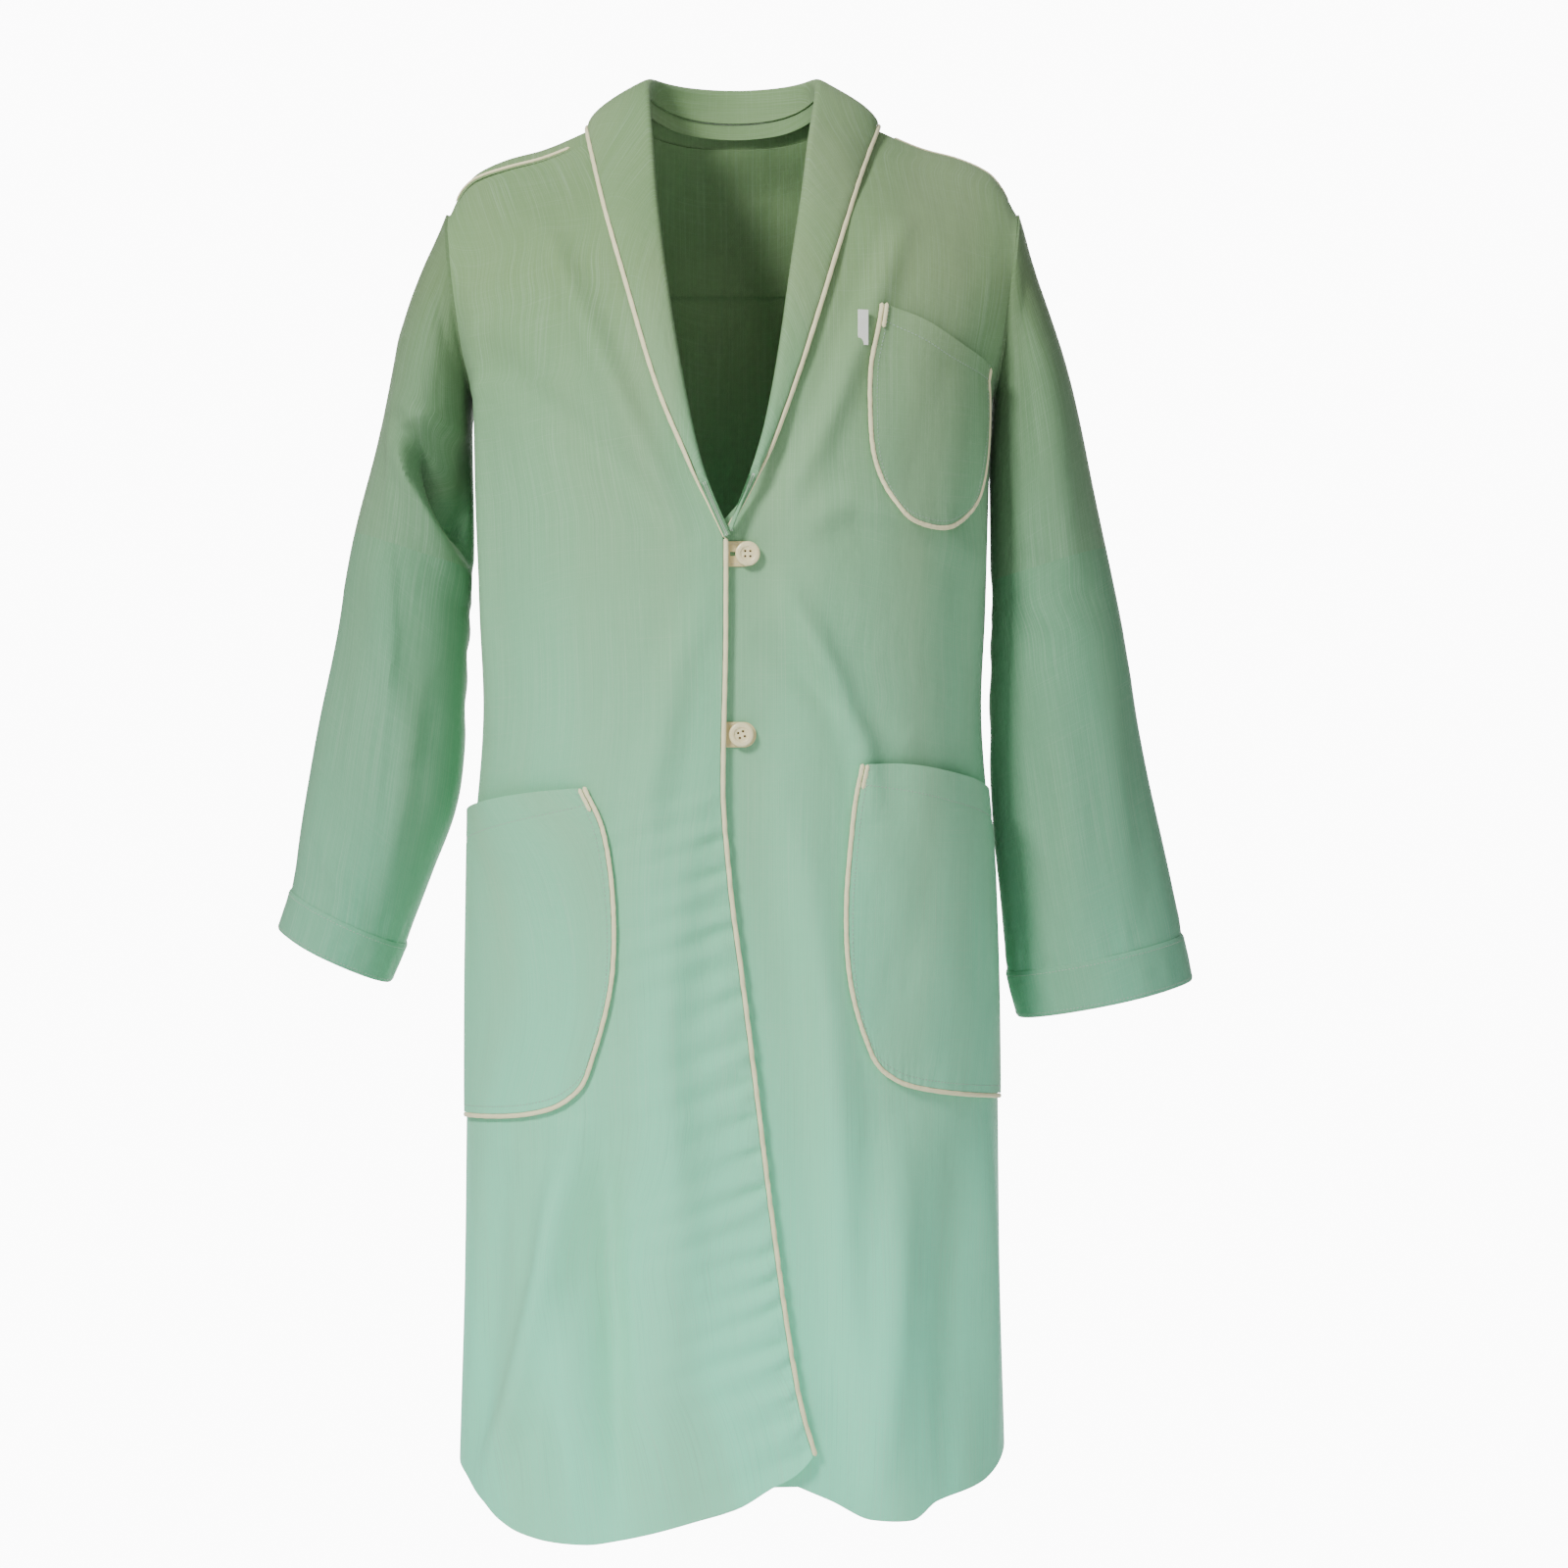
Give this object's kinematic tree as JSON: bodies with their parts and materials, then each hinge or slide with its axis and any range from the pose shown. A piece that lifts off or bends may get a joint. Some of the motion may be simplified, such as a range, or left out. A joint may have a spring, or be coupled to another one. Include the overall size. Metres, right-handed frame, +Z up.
{
  "type": "lab coat",
  "caption": "Knee-length mint lab coat with a shawl collar, ivory piping, patch pockets and looped-tab button closure, hanging as worn, with sleeves that raise and bend.",
  "frame": {"origin": "centre of the neck opening, level with the points where the shoulders meet the neck", "axes": "+Z up, -Y towards the front of the coat, +X towards the wearer's left"},
  "size_m": [0.7151, 0.3403, 1.1163],
  "materials": {
    "mint_cloth": "fine plain weave with vertical slubs, matt with a faint sheen",
    "interfacing": "matt bonded non-woven cloth",
    "ivory_piping": "tightly covered cord, matt cotton",
    "ivory_tab": "doubled cotton with a stitched edge",
    "sewing_thread": "twisted cotton thread",
    "button_resin": "cream resin with a polished rim",
    "label_tape": "plain satin tape, blank"
  },
  "bodies": {
    "torso": {"back_panel": "mint_cloth", "back_neck_facing": "mint_cloth", "right_front_panel": "mint_cloth", "right_front_facing": "mint_cloth", "left_front_panel": "mint_cloth", "left_front_facing": "mint_cloth", "under_collar": "mint_cloth", "upper_collar": "mint_cloth", "right_hip_pocket": "mint_cloth", "left_hip_pocket": "mint_cloth", "breast_pocket": "mint_cloth", "right_front_interfacing": "interfacing", "left_front_interfacing": "interfacing", "collar_interfacing": "interfacing", "right_front_piping": "ivory_piping", "right_collar_piping": "ivory_piping", "left_collar_piping": "ivory_piping", "right_shoulder_piping": "ivory_piping", "left_shoulder_piping": "ivory_piping", "right_hip_pocket_piping": "ivory_piping", "left_hip_pocket_piping": "ivory_piping", "breast_pocket_piping": "ivory_piping", "upper_button_tab": "ivory_tab", "lower_button_tab": "ivory_tab", "upper_button_thread": "sewing_thread", "lower_button_thread": "sewing_thread", "pocket_label": "label_tape"},
    "right_arm": {"right_upper_sleeve": "mint_cloth"},
    "right_forearm": {"right_lower_sleeve": "mint_cloth", "right_cuff": "mint_cloth"},
    "left_arm": {"left_upper_sleeve": "mint_cloth"},
    "left_forearm": {"left_lower_sleeve": "mint_cloth", "left_cuff": "mint_cloth"},
    "right_skirt": {"right_skirt_flap": "mint_cloth", "right_skirt_interfacing": "interfacing", "right_skirt_facing": "mint_cloth", "right_skirt_piping": "ivory_piping"},
    "upper_button_body": {"upper_button": "button_resin"},
    "lower_button_body": {"lower_button": "button_resin"}
  },
  "joints": [
    {"name": "right_sleeve_raise", "type": "hinge", "parent": "torso", "child": "right_arm", "pos_m": [-0.2225, 0, -0.084], "axis": [0, 1, 0], "range_deg": [0, 70]},
    {"name": "right_elbow_bend", "type": "hinge", "parent": "right_arm", "child": "right_forearm", "pos_m": [-0.2565, -0.0655, -0.3955], "axis": [-0.9782, 0, 0.2075], "range_deg": [0, 80], "stiffness_Nm_per_rad": 1, "springref_deg": -4.58},
    {"name": "left_sleeve_raise", "type": "hinge", "parent": "torso", "child": "left_arm", "pos_m": [0.2225, 0, -0.084], "axis": [0, -1, 0], "range_deg": [0, 70]},
    {"name": "left_elbow_bend", "type": "hinge", "parent": "left_arm", "child": "left_forearm", "pos_m": [0.255, -0.0685, -0.408], "axis": [-0.979, 0, -0.204], "range_deg": [0, 80], "stiffness_Nm_per_rad": 1, "springref_deg": -4.58},
    {"name": "right_front_fold", "type": "hinge", "parent": "torso", "child": "right_skirt", "pos_m": [-0.015, -0.1675, -0.515], "axis": [-0.1658, -0.0017, -0.9862], "range_deg": [0, 75]},
    {"name": "upper_button_twist", "type": "hinge", "parent": "torso", "child": "upper_button_body", "pos_m": [0.0138, -0.162, -0.3645], "axis": [0, 1, 0], "range_deg": [-25, 25], "stiffness_Nm_per_rad": 0.001},
    {"name": "lower_button_twist", "type": "hinge", "parent": "torso", "child": "lower_button_body", "pos_m": [0.0093, -0.165, -0.4954], "axis": [0, 1, 0], "range_deg": [-25, 25], "stiffness_Nm_per_rad": 0.001}
  ]
}
